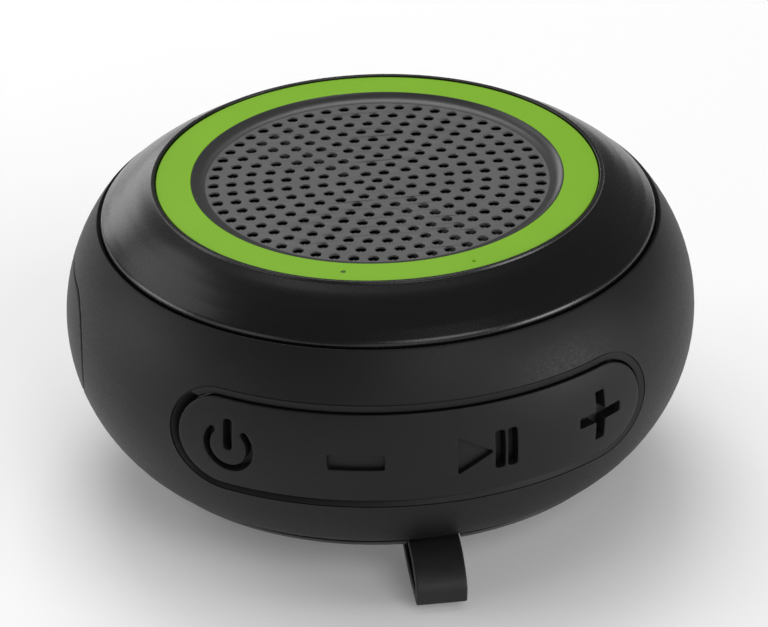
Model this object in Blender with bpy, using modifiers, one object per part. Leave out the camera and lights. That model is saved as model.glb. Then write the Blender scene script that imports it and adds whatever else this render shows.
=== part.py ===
"""Round shower speaker: a puck body on a suction cup, with a keypad, a port cover and a strap loop.

Lengths in this file are millimetres; helper mm() turns them into metres.
Z is up through the grille, the keypad faces -Y, and the floor is z = 0.
Azimuths are degrees from -Y towards +X.
"""
import math

import bmesh
import bpy
from mathutils import Matrix, Vector

NAME = "shower_speaker"

# Body
BODY_R = 45.0
EQUATOR_Z = 24.9
UPPER_ARC = 24.8
LOWER_ARC = 23.4
SLEEVE_T = 2.2
HOUSING_T = 1.6
FIT = 0.3
SLEEVE_TOP_Z = 39.1
SLEEVE_BOTTOM_Z = 7.95
BORE_R = 40.35

# Bezel, ring and grille
BEZEL_R = 39.35
BEZEL_TOP_Z = 45.75
RING_IN_R = 26.45
RING_OUT_R = 31.2
RING_TOP_Z = 45.55
RING_T = 0.7
GRILLE_R = 25.2
GRILLE_TOP_Z = 44.6
GRILLE_T = 0.8
GRILLE_RINGS = 5
GRILLE_PITCH = 23.2 / GRILLE_RINGS
GRILLE_HOLE_R = 0.3 * GRILLE_PITCH
HOLE_SIDES = 5
BEZEL_TURN = 1.5
PINHOLE_R = 0.6
PINHOLE_AT_R = 28.9
PINHOLE_AZ = 17.9
DRIVER_SCREW_R = 29.0

# Keypad
KEYPAD_Z = 25.4
KEYPAD_HALF_W = 35.3
KEYPAD_HALF_H = 6.7
KEY_STEP_AZ = 23.1
KEY_HALF_W = 7.4
KEY_HALF_H = 5.1
KEY_NAMES = ("power", "minus", "play", "plus")
KEY_CAP_T = 2.0

# Port and its cover
PORT_AZ = -90.0
COVER_HALF_W = 11.2
COVER_HALF_H = 7.8
COVER_T = 2.0

# Rear cover, suction cup and strap
COVER_BOTTOM_Z = 6.5
COVER_TOP_Z = 8.5
RIM_R = 36.2
SCREW_AT_R = 31.0
CUP_R = 21.0
STUD_R = 4.5
NECK_R = 3.5
PIN_Y = -29.0
PIN_Z = 5.0
PIN_R = 0.8
STRAP_X = 2.4
STRAP_HALF_W = 3.5
STRAP_T = 1.5

FINE = 40
MEDIUM = 32
SMALL = 24
TINY = 12
SCREW_SIDES = 8


def mm(value):
    return value * 0.001


def barrel_r(z):
    """Outer radius of the rubber sleeve at a height."""
    arc = UPPER_ARC if z > EQUATOR_Z else LOWER_ARC
    dz = z - EQUATOR_Z
    return BODY_R - arc + math.sqrt(arc * arc - dz * dz)


def spread(a, b, count):
    return [a + (b - a) * i / (count - 1) for i in range(count)]


def polar(r, azimuth, z):
    a = math.radians(azimuth)
    return (r * math.sin(a), -r * math.cos(a), z)


# Scene and materials

def clear_scene():
    for obj in list(bpy.data.objects):
        bpy.data.objects.remove(obj, do_unlink=True)
    for collection in list(bpy.data.collections):
        bpy.data.collections.remove(collection)


def add_collection(name):
    collection = bpy.data.collections.new(name)
    bpy.context.scene.collection.children.link(collection)
    return collection


def make_material(name, colour, roughness, metallic=0.0):
    material = bpy.data.materials.new(name)
    material.use_nodes = True
    shader = material.node_tree.nodes["Principled BSDF"]
    shader.inputs["Base Color"].default_value = (*colour, 1.0)
    shader.inputs["Roughness"].default_value = roughness
    shader.inputs["Metallic"].default_value = metallic
    return material


LOOKS = {
    "sleeve_rubber": ((0.030, 0.030, 0.032), 0.55, 0.0),
    "silicone": ((0.026, 0.026, 0.028), 0.5, 0.0),
    "black_plastic": ((0.015, 0.015, 0.016), 0.35, 0.0),
    "green_plastic": ((0.28, 0.60, 0.05), 0.45, 0.0),
    "painted_grille": ((0.10, 0.10, 0.10), 0.5, 0.3),
    "mesh_film": ((0.01, 0.01, 0.01), 0.2, 0.0),
    "grey_plastic": ((0.10, 0.10, 0.10), 0.5, 0.0),
    "foam": ((0.04, 0.04, 0.04), 0.9, 0.0),
    "seal_rubber": ((0.35, 0.08, 0.05), 0.6, 0.0),
    "steel": ((0.55, 0.56, 0.58), 0.3, 1.0),
    "zinc_steel": ((0.62, 0.62, 0.60), 0.35, 1.0),
    "ferrite": ((0.07, 0.07, 0.075), 0.6, 0.0),
    "paper": ((0.05, 0.05, 0.05), 0.8, 0.0),
    "spider_cloth": ((0.62, 0.42, 0.18), 0.85, 0.0),
    "copper_wire": ((0.72, 0.35, 0.20), 0.35, 1.0),
    "board_green": ((0.03, 0.16, 0.07), 0.45, 0.0),
    "chip_black": ((0.02, 0.02, 0.02), 0.4, 0.0),
    "battery_film": ((0.10, 0.22, 0.45), 0.4, 0.0),
    "clear_plastic": ((0.80, 0.85, 0.80), 0.15, 0.0),
    "white_plastic": ((0.75, 0.75, 0.72), 0.4, 0.0),
    "cup_rubber": ((0.05, 0.05, 0.055), 0.3, 0.0),
}


def finish_object(obj, look, parts):
    colour, roughness, metallic = LOOKS[look]
    material = make_material(obj.name, colour, roughness, metallic)
    obj.data.materials.clear()
    obj.data.materials.append(material)
    for other in list(obj.users_collection):
        other.objects.unlink(obj)
    parts.objects.link(obj)
    return obj


def smooth_object(obj, degrees=35.0):
    bpy.ops.object.select_all(action="DESELECT")
    obj.select_set(True)
    bpy.context.view_layer.objects.active = obj
    bpy.ops.object.shade_smooth()
    obj.data.set_sharp_from_angle(angle=math.radians(degrees))


def object_from_bmesh(name, bm):
    bmesh.ops.recalc_face_normals(bm, faces=bm.faces)
    mesh = bpy.data.meshes.new(name)
    bm.to_mesh(mesh)
    bm.free()
    obj = bpy.data.objects.new(name, mesh)
    bpy.context.scene.collection.objects.link(obj)
    return obj


def put_origin(obj, point):
    """Move an object's origin to a point, leaving its shape where it is."""
    at = Vector([mm(v) for v in point])
    obj.data.transform(Matrix.Translation(-at))
    obj.location = at


# Shape builders

def turned(name, outline, steps=FINE):
    """A solid turned about Z from a closed (radius, height) outline."""
    mesh = bpy.data.meshes.new(name)
    points = [(mm(r), 0.0, mm(z)) for r, z in outline]
    count = len(points)
    on_axis = outline[0][0] == 0.0 and outline[-1][0] == 0.0
    edges = [(i, i + 1) for i in range(count - 1)]
    if not on_axis:
        edges.append((count - 1, 0))
    mesh.from_pydata(points, edges, [])
    obj = bpy.data.objects.new(name, mesh)
    bpy.context.scene.collection.objects.link(obj)
    screw = obj.modifiers.new("turn", "SCREW")
    screw.axis = "Z"
    screw.angle = math.tau
    screw.steps = steps
    screw.render_steps = steps
    screw.use_merge_vertices = True
    screw.merge_threshold = 0.00001
    screw.use_normal_calculate = True
    bake(obj)
    return obj


def bake(obj):
    """Replace an object's mesh with its modified mesh, welded and facing outwards."""
    bpy.context.view_layer.update()
    source = obj.evaluated_get(bpy.context.evaluated_depsgraph_get())
    mesh = bpy.data.meshes.new_from_object(source)
    bm = bmesh.new()
    bm.from_mesh(mesh)
    bmesh.ops.remove_doubles(bm, verts=bm.verts, dist=0.000005)
    bmesh.ops.recalc_face_normals(bm, faces=bm.faces)
    bm.to_mesh(mesh)
    bm.free()
    obj.modifiers.clear()
    obj.data = mesh


def box(name, size, centre, azimuth=0.0):
    """A box: size is (across, radial, up), turned to face an azimuth."""
    bm = bmesh.new()
    bmesh.ops.create_cube(bm, size=1.0)
    bmesh.ops.scale(bm, vec=[mm(v) for v in size], verts=bm.verts)
    turn = Matrix.Rotation(math.radians(azimuth), 4, "Z")
    move = Matrix.Translation([mm(v) for v in centre])
    bmesh.ops.transform(bm, matrix=move @ turn, verts=bm.verts)
    return object_from_bmesh(name, bm)


def cylinder(name, radius, bottom, top, sides=TINY):
    """A round bar between two points."""
    low = Vector(bottom)
    high = Vector(top)
    along = high - low
    bm = bmesh.new()
    bmesh.ops.create_cone(bm, cap_ends=True, segments=sides, radius1=mm(radius),
                          radius2=mm(radius), depth=mm(along.length))
    turn = along.to_track_quat("Z", "Y").to_matrix().to_4x4()
    move = Matrix.Translation((low + high) * 0.0005)
    bmesh.ops.transform(bm, matrix=move @ turn, verts=bm.verts)
    return object_from_bmesh(name, bm)


def stadium_columns(half_w, half_h, straight=13, end=4):
    """(across, half height) columns of a stadium, left to right."""
    flat = half_w - half_h
    angles = [math.radians(80.0 * i / end) for i in range(1, end + 1)]
    right = [(flat + half_h * math.sin(a), half_h * math.cos(a)) for a in angles]
    left = [(-s, h) for s, h in reversed(right)]
    return left + [(s, half_h) for s in spread(-flat, flat, straight)] + right


def ellipse_columns(half_w, half_h, count=9):
    angles = [math.radians(a) for a in spread(-80.0, 80.0, count)]
    return [(half_w * math.sin(a), half_h * math.cos(a)) for a in angles]


def wrapped(name, columns, azimuth, z, r_in, r_out, rows=5):
    """A slab bent round the Z axis: its inner and outer radii are functions of height."""
    bm = bmesh.new()
    loops = []
    for across, half in columns:
        at = azimuth + math.degrees(across / BODY_R)
        heights = spread(z + half, z - half, rows)
        ring = [polar(r_out(h), at, h) for h in heights]
        ring += [polar(r_in(h), at, h) for h in reversed(heights)]
        loops.append([bm.verts.new([mm(v) for v in p]) for p in ring])
    count = len(loops[0])
    for a, b in zip(loops, loops[1:]):
        for i in range(count):
            j = (i + 1) % count
            bm.faces.new((a[i], a[j], b[j], b[i]))
    for ring in (loops[0], loops[-1]):
        for i in range(rows - 1):
            bm.faces.new((ring[i], ring[i + 1], ring[count - 2 - i], ring[count - 1 - i]))
    return object_from_bmesh(name, bm)


def constant(value):
    return lambda z: value


def below_surface(depth):
    return lambda z: barrel_r(z) - depth


class Cutters:
    """Keeps the cutting shapes together and applies them."""

    def __init__(self, collection):
        self.collection = collection

    def apply(self, obj, tools, operation="DIFFERENCE"):
        for tool in tools:
            for other in list(tool.users_collection):
                other.objects.unlink(tool)
            self.collection.objects.link(tool)
            tool.hide_render = True
            tool.display_type = "WIRE"
            modifier = obj.modifiers.new(tool.name, "BOOLEAN")
            modifier.operation = operation
            modifier.solver = "EXACT"
            modifier.object = tool
        bake(obj)


# Enclosure

def sleeve_outline():
    outer = [(barrel_r(z), z) for z in spread(SLEEVE_TOP_Z, 9.6, 11)]
    foot = [(38.4, 8.6), (37.5, 8.1), (36.6, SLEEVE_BOTTOM_Z), (36.5, 8.3)]
    inner = [(barrel_r(z) - SLEEVE_T, z) for z in spread(9.6, 35.6, 7)]
    return outer + foot + inner + [(BORE_R, 36.2), (BORE_R, SLEEVE_TOP_Z)]


def build_sleeve(cut):
    obj = turned("grip_sleeve", sleeve_outline())
    keypad = stadium_columns(KEYPAD_HALF_W + FIT, KEYPAD_HALF_H + FIT, 13, 5)
    port = stadium_columns(COVER_HALF_W + FIT, COVER_HALF_H + FIT, 4, 5)
    tools = [
        wrapped("cut_keypad_window", keypad, 0.0, KEYPAD_Z, constant(38.0), constant(50.0), 2),
        wrapped("cut_port_window", port, PORT_AZ, KEYPAD_Z, constant(38.0), constant(50.0), 2),
    ]
    cut.apply(obj, tools)
    return obj


def housing_outline():
    skin = SLEEVE_T + FIT
    wall = skin + HOUSING_T
    outer = [(barrel_r(z) - skin, z) for z in spread(35.0, 9.6, 6)]
    inner = [(barrel_r(z) - wall, z) for z in spread(10.6, 34.4, 5)]
    top = [(BORE_R - FIT, 38.1), (BORE_R - FIT, 36.2)]
    foot = [(36.0, 8.8), (28.5, 8.8), (28.5, 10.2), (35.4, 10.2)]
    return top + outer + foot + inner + [(33.5, 36.4), (33.5, 38.1)]


def build_housing(cut):
    obj = turned("inner_housing", housing_outline(), MEDIUM)
    bosses = []
    holes = []
    for i in range(4):
        x, y, _ = polar(SCREW_AT_R, 45.0 + 90.0 * i, 0.0)
        bosses.append(cylinder("boss_%d" % i, 2.9, (x, y, 9.4), (x, y, 17.0)))
        holes.append(cylinder("cut_boss_%d" % i, 1.4, (x, y, 7.0), (x, y, 15.5), 8))
    cut.apply(obj, bosses, "UNION")
    for i, name in enumerate(KEY_NAMES):
        azimuth = KEY_STEP_AZ * (i - 1.5)
        low = polar(38.0, azimuth, KEYPAD_Z)
        high = polar(46.0, azimuth, KEYPAD_Z)
        holes.append(cylinder("cut_key_" + name, 2.4, low, high))
    x, y, _ = polar(41.0, PORT_AZ, 0.0)
    holes.append(box("cut_socket", (9.6, 8.0, 3.9), (x, y, KEYPAD_Z), PORT_AZ))
    cut.apply(obj, holes)
    return obj


def bezel_outline():
    slope = []
    count = 5
    low = Vector((39.1, 40.4))
    high = Vector((32.15, 45.5))
    side = Vector((low.y - high.y, -(low.x - high.x))).normalized()
    for i in range(count):
        t = i / (count - 1)
        p = high.lerp(low, t) - side * (0.42 * 4.0 * t * (1.0 - t))
        slope.append((p.x, p.y))
    channel_z = RING_TOP_Z - RING_T - FIT
    channel_r = RING_OUT_R + FIT
    return (
        [(channel_r, channel_z), (channel_r, RING_TOP_Z), (31.75, BEZEL_TOP_Z)]
        + slope
        + [(BEZEL_R, 39.9), (BEZEL_R, 38.4), (38.0, 38.4), (38.0, 39.3), (36.2, 39.3)]
        + [(36.2, 38.4), (35.0, 38.4), (34.8, 41.2), (31.2, 43.2), (31.2, 39.2)]
        + [(27.4, 39.2), (27.4, 41.1), (25.5, 41.1), (25.5, 44.9), (24.8, 44.9)]
        + [(26.15, 45.5), (26.15, channel_z)]
    )


def build_bezel(cut):
    obj = turned("front_bezel", bezel_outline())
    pocket = [(s, 2.2) for s in spread(-16.5, 16.5, 8)]
    tools = [wrapped("cut_pocket", pocket, BEZEL_TURN, 40.2, constant(27.9), constant(30.7), 2)]
    for side in (-1, 1):
        azimuth = BEZEL_TURN + side * PINHOLE_AZ
        low = polar(PINHOLE_AT_R, azimuth, 42.0)
        high = polar(PINHOLE_AT_R, azimuth, 47.0)
        tools.append(cylinder("cut_pinhole_%d" % side, PINHOLE_R, low, high, 10))
    for i in range(4):
        x, y, _ = polar(DRIVER_SCREW_R, 45.0 + 90.0 * i, 0.0)
        tools.append(cylinder("cut_driver_screw_%d" % i, 0.9, (x, y, 38.0), (x, y, 43.0), 8))
    cut.apply(obj, tools)
    return obj


def build_ring(cut):
    outline = [
        (RING_OUT_R, RING_TOP_Z),
        (RING_OUT_R, RING_TOP_Z - RING_T),
        (RING_IN_R, RING_TOP_Z - RING_T),
        (RING_IN_R, RING_TOP_Z),
    ]
    obj = turned("accent_ring", outline)
    tools = []
    for side in (-1, 1):
        azimuth = BEZEL_TURN + side * PINHOLE_AZ
        low = polar(PINHOLE_AT_R, azimuth, 44.0)
        high = polar(PINHOLE_AT_R, azimuth, 47.0)
        tools.append(cylinder("cut_ring_hole_%d" % side, PINHOLE_R, low, high, 10))
    cut.apply(obj, tools)
    return obj


def build_grille(cut):
    low = GRILLE_TOP_Z - GRILLE_T
    outline = [(0.0, GRILLE_TOP_Z), (GRILLE_R, GRILLE_TOP_Z), (GRILLE_R, low), (0.0, low)]
    obj = turned("grille_plate", outline)
    bm = bmesh.new()
    for ring in range(GRILLE_RINGS + 1):
        for i in range(max(1, 6 * ring)):
            azimuth = 30.0 + BEZEL_TURN + 60.0 * i / max(1, ring)
            at = polar(GRILLE_PITCH * ring, azimuth, (GRILLE_TOP_Z + low) / 2)
            place = Matrix.Translation([mm(v) for v in at])
            bmesh.ops.create_cone(bm, cap_ends=True, segments=HOLE_SIDES, matrix=place,
                                  radius1=mm(GRILLE_HOLE_R), radius2=mm(GRILLE_HOLE_R),
                                  depth=mm(3.0 * GRILLE_T))
    cut.apply(obj, [object_from_bmesh("cut_grille_holes", bm)])
    return obj


def build_front_seals():
    membrane = turned("splash_membrane", [(0.0, 43.5), (25.0, 43.5), (25.0, 43.2), (0.0, 43.2)],
                      MEDIUM)
    retainer = turned("grille_retainer",
                      [(25.2, 42.9), (25.2, 41.4), (23.6, 41.4), (23.6, 42.9)], MEDIUM)
    o_ring = turned("bezel_o_ring",
                    [(37.6, 39.1), (37.6, 38.3), (36.6, 38.3), (36.6, 39.1)], MEDIUM)
    gasket = turned("driver_gasket",
                    [(27.0, 40.9), (27.0, 39.2), (24.0, 39.2), (24.0, 40.9)], MEDIUM)
    return membrane, retainer, o_ring, gasket


# Loudspeaker driver

def build_driver(cut):
    basket_outline = [
        (30.6, 38.9), (30.6, 37.9), (24.8, 37.9), (20.6, 30.0), (16.9, 30.0), (16.9, 27.3),
        (8.6, 27.3), (8.6, 28.2), (15.9, 28.2), (15.9, 31.0), (19.9, 31.0), (23.7, 38.2),
        (23.7, 38.9),
    ]
    basket = turned("driver_basket", basket_outline, SMALL)
    tools = []
    for i in range(4):
        azimuth = 90.0 * i
        x, y, _ = polar(21.5, azimuth, 0.0)
        tools.append(box("cut_vent_%d" % i, (16.0, 8.0, 4.6), (x, y, 34.0), azimuth))
    for i in range(4):
        x, y, _ = polar(DRIVER_SCREW_R, 45.0 + 90.0 * i, 0.0)
        tools.append(cylinder("cut_ear_%d" % i, 1.0, (x, y, 37.0), (x, y, 40.0), 8))
    cut.apply(basket, tools)

    surround = turned("driver_surround", [
        (23.6, 39.3), (23.6, 39.0), (22.6, 39.7), (20.6, 39.7), (19.6, 38.7), (19.6, 39.0),
        (20.4, 40.1), (22.8, 40.1),
    ], SMALL)
    cone = turned("driver_cone", [
        (19.3, 39.0), (19.3, 38.6), (8.4, 33.0), (8.4, 33.6), (18.6, 39.0),
    ], SMALL)
    dust_cap = turned("dust_cap", [
        (0.0, 36.6), (3.5, 36.2), (6.2, 35.2), (8.0, 33.8), (7.7, 33.6), (6.0, 34.8),
        (3.4, 35.8), (0.0, 36.2),
    ], SMALL)
    coil = turned("voice_coil", [
        (7.75, 33.2), (7.75, 29.2), (8.1, 29.2), (8.1, 24.4), (7.4, 24.4), (7.4, 33.2),
    ], SMALL)
    spider = turned("driver_spider", [
        (16.6, 31.6), (16.6, 31.3), (14.6, 31.3), (12.4, 30.5), (10.2, 31.3), (8.1, 31.3),
        (8.1, 31.6), (10.2, 31.6), (12.4, 30.8), (14.6, 31.6),
    ], SMALL)
    top_plate = turned("driver_top_plate", [
        (15.5, 27.0), (15.5, 24.9), (8.5, 24.9), (8.5, 27.0),
    ], SMALL)
    magnet = turned("driver_magnet", [
        (16.2, 24.6), (16.2, 21.0), (9.6, 21.0), (9.6, 24.6),
    ], SMALL)
    yoke = turned("driver_yoke", [
        (0.0, 27.0), (7.0, 27.0), (7.0, 20.7), (15.6, 20.7), (15.6, 19.0), (0.0, 19.0),
    ], SMALL)
    for moving in (cone, dust_cap, coil):
        put_origin(moving, (0.0, 0.0, 33.0))
    screws = []
    for i in range(4):
        x, y, _ = polar(DRIVER_SCREW_R, 45.0 + 90.0 * i, 0.0)
        screws.append(build_screw("driver_screw_%d" % (i + 1), x, y, 36.7, 1.7, 0.9, 0.65, 4.6))
    return (basket, surround, cone, dust_cap, coil, spider, top_plate, magnet, yoke, *screws)


def build_screw(name, x, y, head_z, head_r, head_t, shank_r, length):
    """A pan head screw pointing up, its head at the bottom."""
    outline = [
        (0.0, head_z + head_t + length),
        (shank_r, head_z + head_t + length - 0.4),
        (shank_r, head_z + head_t),
        (head_r, head_z + head_t),
        (head_r, head_z + 0.3),
        (head_r - 0.4, head_z),
        (0.0, head_z),
    ]
    obj = turned(name, outline, SCREW_SIDES)
    obj.data.transform(Matrix.Translation((mm(x), mm(y), 0.0)))
    return obj


# Keypad

def build_keypad(cut):
    columns = stadium_columns(KEYPAD_HALF_W, KEYPAD_HALF_H, 15, 4)
    frame = wrapped("keypad_frame", columns, 0.0, KEYPAD_Z, below_surface(SLEEVE_T),
                    below_surface(0.0))
    tools = []
    keys = []
    plungers = []
    switches = []
    for i, name in enumerate(KEY_NAMES):
        azimuth = KEY_STEP_AZ * (i - 1.5)
        hole = ellipse_columns(KEY_HALF_W + FIT, KEY_HALF_H + FIT)
        tools.append(wrapped("cut_cap_" + name, hole, azimuth, KEYPAD_Z, constant(38.0),
                             constant(50.0), 2))
        cap = wrapped("key_" + name, ellipse_columns(KEY_HALF_W, KEY_HALF_H), azimuth,
                      KEYPAD_Z, below_surface(KEY_CAP_T), below_surface(0.0))
        stem = cylinder("stem_" + name, 1.5, polar(41.1, azimuth, KEYPAD_Z),
                        polar(43.6, azimuth, KEYPAD_Z), 10)
        cut.apply(cap, [stem], "UNION")
        put_origin(cap, polar(BODY_R, azimuth, KEYPAD_Z))
        keys.append(cap)
        plunger = cylinder("plunger_" + name, 1.7, polar(40.35, azimuth, KEYPAD_Z),
                           polar(40.85, azimuth, KEYPAD_Z), 10)
        put_origin(plunger, polar(40.6, azimuth, KEYPAD_Z))
        plungers.append(plunger)
        switches.append(box("switch_" + name, (6.0, 1.7, 6.0),
                            polar(38.95, azimuth, KEYPAD_Z), azimuth))
    cut.apply(frame, tools)
    board_columns = [(s, 4.4) for s in spread(-33.5, 33.5, 12)]
    board = wrapped("key_board", board_columns, 0.0, KEYPAD_Z, constant(36.6),
                    constant(37.4), 2)
    return (frame, board, *keys, *plungers, *switches)


# Electronics

def build_electronics(cut):
    board = turned("main_board", [(0.0, 18.5), (33.5, 18.5), (33.5, 17.3), (0.0, 17.3)], MEDIUM)
    module = box("bluetooth_module", (14.0, 10.0, 2.2), (24.5, 0.0, 19.9), 90.0)
    amplifier = box("amplifier_chip", (6.0, 6.0, 1.2), (-24.0, 6.0, 19.4))
    capacitor = cylinder("capacitor", 4.0, (0.0, 25.0, 18.8), (0.0, 25.0, 26.8))
    battery = box("battery", (40.0, 30.0, 4.4), (0.0, 0.0, 14.6))
    left = box("battery_pad_left", (6.0, 24.0, 3.3), (-14.0, 0.0, 10.45))
    right = box("battery_pad_right", (6.0, 24.0, 3.3), (14.0, 0.0, 10.45))
    port_board = box("port_board", (16.0, 6.5, 0.9), (-35.3, 0.0, 22.95), 90.0)
    socket = box("usb_socket", (9.0, 8.3, 3.2), (-38.0, 0.0, KEYPAD_Z), 90.0)
    mouth = box("cut_mouth", (8.2, 6.8, 2.4), (-39.3, 0.0, KEYPAD_Z), 90.0)
    cut.apply(socket, [mouth])
    indicator_columns = [(s, 0.4) for s in spread(-15.5, 15.5, 8)]
    indicator = wrapped("indicator_board", indicator_columns, BEZEL_TURN, 40.4, constant(28.2),
                        constant(30.4), 2)
    led_at = polar(PINHOLE_AT_R, BEZEL_TURN - PINHOLE_AZ, 0.0)
    mic_at = polar(PINHOLE_AT_R + 0.3, BEZEL_TURN + PINHOLE_AZ, 0.0)
    led = box("status_led", (1.6, 0.8, 0.6), (led_at[0], led_at[1], 41.2), -PINHOLE_AZ)
    pipe = cylinder("light_pipe", PINHOLE_R - 0.2, (led_at[0], led_at[1], 41.7),
                    (led_at[0], led_at[1], RING_TOP_Z - 0.05), 8)
    microphone = box("microphone", (2.6, 1.6, 1.0), (mic_at[0], mic_at[1], 41.5), PINHOLE_AZ)
    return (board, module, amplifier, capacitor, battery, left, right, port_board, socket,
            indicator, led, pipe, microphone)


# Port cover

def build_port_cover():
    columns = stadium_columns(COVER_HALF_W, COVER_HALF_H, 5, 5)
    cover = wrapped("port_cover", columns, PORT_AZ, KEYPAD_Z, below_surface(COVER_T),
                    below_surface(0.0))
    hinge_az = PORT_AZ - math.degrees(COVER_HALF_W / BODY_R)
    put_origin(cover, polar(BODY_R, hinge_az, KEYPAD_Z))
    return cover


# Underside

def build_rear_cover(cut):
    outline = [
        (0.0, 12.0), (7.5, 12.0), (7.5, COVER_TOP_Z), (33.2, COVER_TOP_Z), (33.2, 8.0),
        (34.4, 8.0), (34.4, COVER_TOP_Z), (35.2, COVER_TOP_Z), (35.2, 7.7), (RIM_R, 7.7),
        (35.5, COVER_BOTTOM_Z), (NECK_R + FIT, COVER_BOTTOM_Z), (NECK_R + FIT, 8.4),
        (STUD_R + FIT, 8.4), (STUD_R + FIT, 11.0), (0.0, 11.0),
    ]
    obj = turned("rear_cover", outline)
    lugs = []
    for side in (-1, 1):
        x = STRAP_X + side * (STRAP_HALF_W + FIT + 0.8)
        lugs.append(box("lug_%d" % side, (1.6, 4.4, 4.2), (x, PIN_Y, 5.3)))
    cut.apply(obj, lugs, "UNION")
    tools = [box("cut_strap_way", (2 * (STRAP_HALF_W + FIT), 14.6, 4.0),
                 (STRAP_X, -33.1, 5.8))]
    far = STRAP_HALF_W + 6.0
    tools.append(cylinder("cut_pin_hole", PIN_R + 0.25, (STRAP_X - far, PIN_Y, PIN_Z),
                          (STRAP_X + far, PIN_Y, PIN_Z)))
    for i in range(4):
        x, y, _ = polar(SCREW_AT_R, 45.0 + 90.0 * i, 0.0)
        tools.append(cylinder("cut_head_%d" % i, 2.4, (x, y, 5.0), (x, y, 7.7)))
        tools.append(cylinder("cut_shank_%d" % i, 1.4, (x, y, 5.0), (x, y, 10.0), 10))
    cut.apply(obj, tools)
    return obj


def build_rear_hardware():
    o_ring = turned("rear_o_ring", [(34.2, 8.7), (34.2, 8.2), (33.4, 8.2), (33.4, 8.7)], MEDIUM)
    screws = []
    for i in range(4):
        x, y, _ = polar(SCREW_AT_R, 45.0 + 90.0 * i, 0.0)
        screws.append(build_screw("rear_screw_%d" % (i + 1), x, y, 6.6, 2.0, 0.9, 1.05, 7.2))
    reach = STRAP_HALF_W + FIT + 1.6
    pin = cylinder("strap_pin", PIN_R, (STRAP_X - reach, PIN_Y, PIN_Z),
                   (STRAP_X + reach, PIN_Y, PIN_Z))
    return (o_ring, pin, *screws)


def build_suction_cup():
    outline = [
        (0.0, 10.6), (3.4, 10.6), (STUD_R, 9.9), (STUD_R, 9.1), (NECK_R, 8.7),
        (NECK_R, 6.2), (9.0, 6.0), (13.5, 5.1), (17.5, 3.2), (20.3, 0.9), (CUP_R, 0.25),
        (20.8, 0.0), (18.6, 0.0), (15.5, 1.5), (11.0, 2.9), (5.5, 3.6), (0.0, 3.8),
    ]
    obj = turned("suction_cup", outline, SMALL)
    put_origin(obj, (0.0, 0.0, 6.0))
    return obj


def strap_middle():
    """The loop's middle line in the (y, z) plane: round the pin, out, folded, and back."""
    turn = PIN_R + FIT + STRAP_T / 2
    round_pin = []
    for degrees in (-90.0, -50.0, -15.0, 15.0, 50.0, 90.0):
        a = math.radians(degrees)
        round_pin.append((PIN_Y + turn * math.cos(a), PIN_Z + turn * math.sin(a)))
    over = [(-33.0, 6.7), (-36.0, 6.65), (-39.0, 6.3), (-41.2, 5.4), (-42.7, 4.3)]
    fold = [(-43.3, 3.3), (-43.15, 1.75)]
    under = [(-41.0, 1.75), (-37.0, 1.75), (-33.5, 2.1)]
    return round_pin + over + fold + under


def strap_side(points, offset):
    """A closed line beside a closed path, to its outer side for a positive offset."""
    result = []
    count = len(points)
    for i, (y, z) in enumerate(points):
        before = points[i - 1]
        after = points[(i + 1) % count]
        along = Vector((after[0] - before[0], after[1] - before[1])).normalized()
        result.append((y + along.y * offset, z - along.x * offset))
    return result


def build_strap():
    curve = bpy.data.curves.new("strap_loop", "CURVE")
    curve.dimensions = "2D"
    curve.fill_mode = "BOTH"
    curve.extrude = mm(STRAP_HALF_W)
    for grow in (STRAP_T / 2, -STRAP_T / 2):
        points = strap_side(strap_middle(), grow)
        spline = curve.splines.new("POLY")
        spline.points.add(len(points) - 1)
        for target, (y, z) in zip(spline.points, points):
            target.co = (mm(y), mm(z), 0.0, 1.0)
        spline.use_cyclic_u = True
    flat = bpy.data.objects.new("strap_curve", curve)
    bpy.context.scene.collection.objects.link(flat)
    flat.matrix_world = Matrix(((0.0, 0.0, 1.0, mm(STRAP_X)), (1.0, 0.0, 0.0, 0.0),
                                (0.0, 1.0, 0.0, 0.0), (0.0, 0.0, 0.0, 1.0)))
    bpy.context.view_layer.update()
    source = flat.evaluated_get(bpy.context.evaluated_depsgraph_get())
    mesh = bpy.data.meshes.new_from_object(source)
    mesh.transform(flat.matrix_world)
    bm = bmesh.new()
    bm.from_mesh(mesh)
    bmesh.ops.remove_doubles(bm, verts=bm.verts, dist=0.000005)
    obj = object_from_bmesh("strap_loop", bm)
    bpy.data.objects.remove(flat, do_unlink=True)
    put_origin(obj, (STRAP_X, PIN_Y, PIN_Z))
    return obj


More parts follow.
